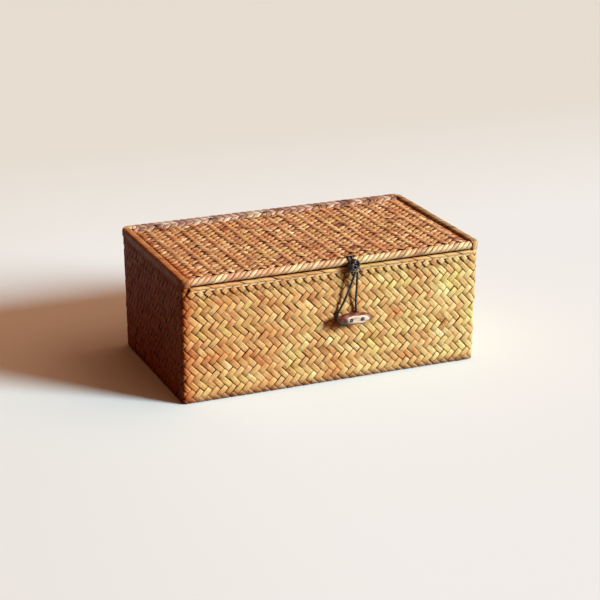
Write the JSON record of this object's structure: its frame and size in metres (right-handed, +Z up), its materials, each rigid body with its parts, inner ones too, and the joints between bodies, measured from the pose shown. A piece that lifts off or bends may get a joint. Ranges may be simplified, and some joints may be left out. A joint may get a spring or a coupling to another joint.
{
  "type": "lidded storage basket",
  "caption": "Rectangular plaited straw storage box with a rolled rim, an inset hinged lid, and a wooden toggle closed by a black cord loop.",
  "frame": {"origin": "middle of the underside of the floor", "axes": "+X along the box to the right, +Y from the front to the hinge side, +Z up"},
  "size_m": [0.326, 0.2068, 0.1325],
  "materials": {
    "straw_outer": "plaited straw, satin",
    "straw_lining": "plaited straw, matt",
    "straw_rim": "folded straw, satin",
    "straw_lid": "plaited straw, satin",
    "straw_pale": "wound straw, satin",
    "straw_tie": "twisted straw, matt",
    "reed": "peeled reed, matt",
    "waxed_cord": "waxed cord, satin",
    "twig": "smooth bark, satin"
  },
  "bodies": {
    "basket": {"outer_shell": "straw_outer", "inner_shell": "straw_lining", "rim_band": "straw_rim", "rim_rod": "reed", "front_binding": "straw_outer", "front_binding_rod": "reed", "hinge_ties": "straw_tie"},
    "lid": {"lid_top_panel": "straw_lid", "lid_under_panel": "straw_lining", "lid_front_rope": "straw_pale", "lid_front_rod": "reed", "lid_back_rope": "straw_rim", "lid_back_rod": "reed", "lid_side_left": "straw_lid", "lid_side_right": "straw_lid", "closure_lashing": "waxed_cord", "closure_knot": "waxed_cord", "closure_tails": "waxed_cord"},
    "loop": {"closure_loop": "waxed_cord"},
    "toggle": {"toggle": "twig", "toggle_tie": "waxed_cord", "toggle_tie_knot": "waxed_cord"}
  },
  "joints": [
    {"name": "lid_hinge", "type": "hinge", "parent": "basket", "child": "lid", "pos_m": [0, 0.083, 0.1273], "axis": [-1, 0, 0], "range_deg": [0, 115], "deforming": ["closure_loop"]},
    {"name": "loop_swing", "type": "hinge", "parent": "lid", "child": "loop", "pos_m": [0.0196, -0.1029, 0.1188], "axis": [1, 0, 0], "range_deg": [0, 86.25], "deforming": ["closure_loop"]},
    {"name": "toggle_swivel", "type": "hinge", "parent": "basket", "child": "toggle", "pos_m": [0.018, -0.1045, 0.0703], "axis": [0, 1, 0], "range_deg": [-90, 90]}
  ],
  "couplings": [
    {"joint": "loop_swing", "follows": "lid_hinge", "ratio": 0.75}
  ]
}
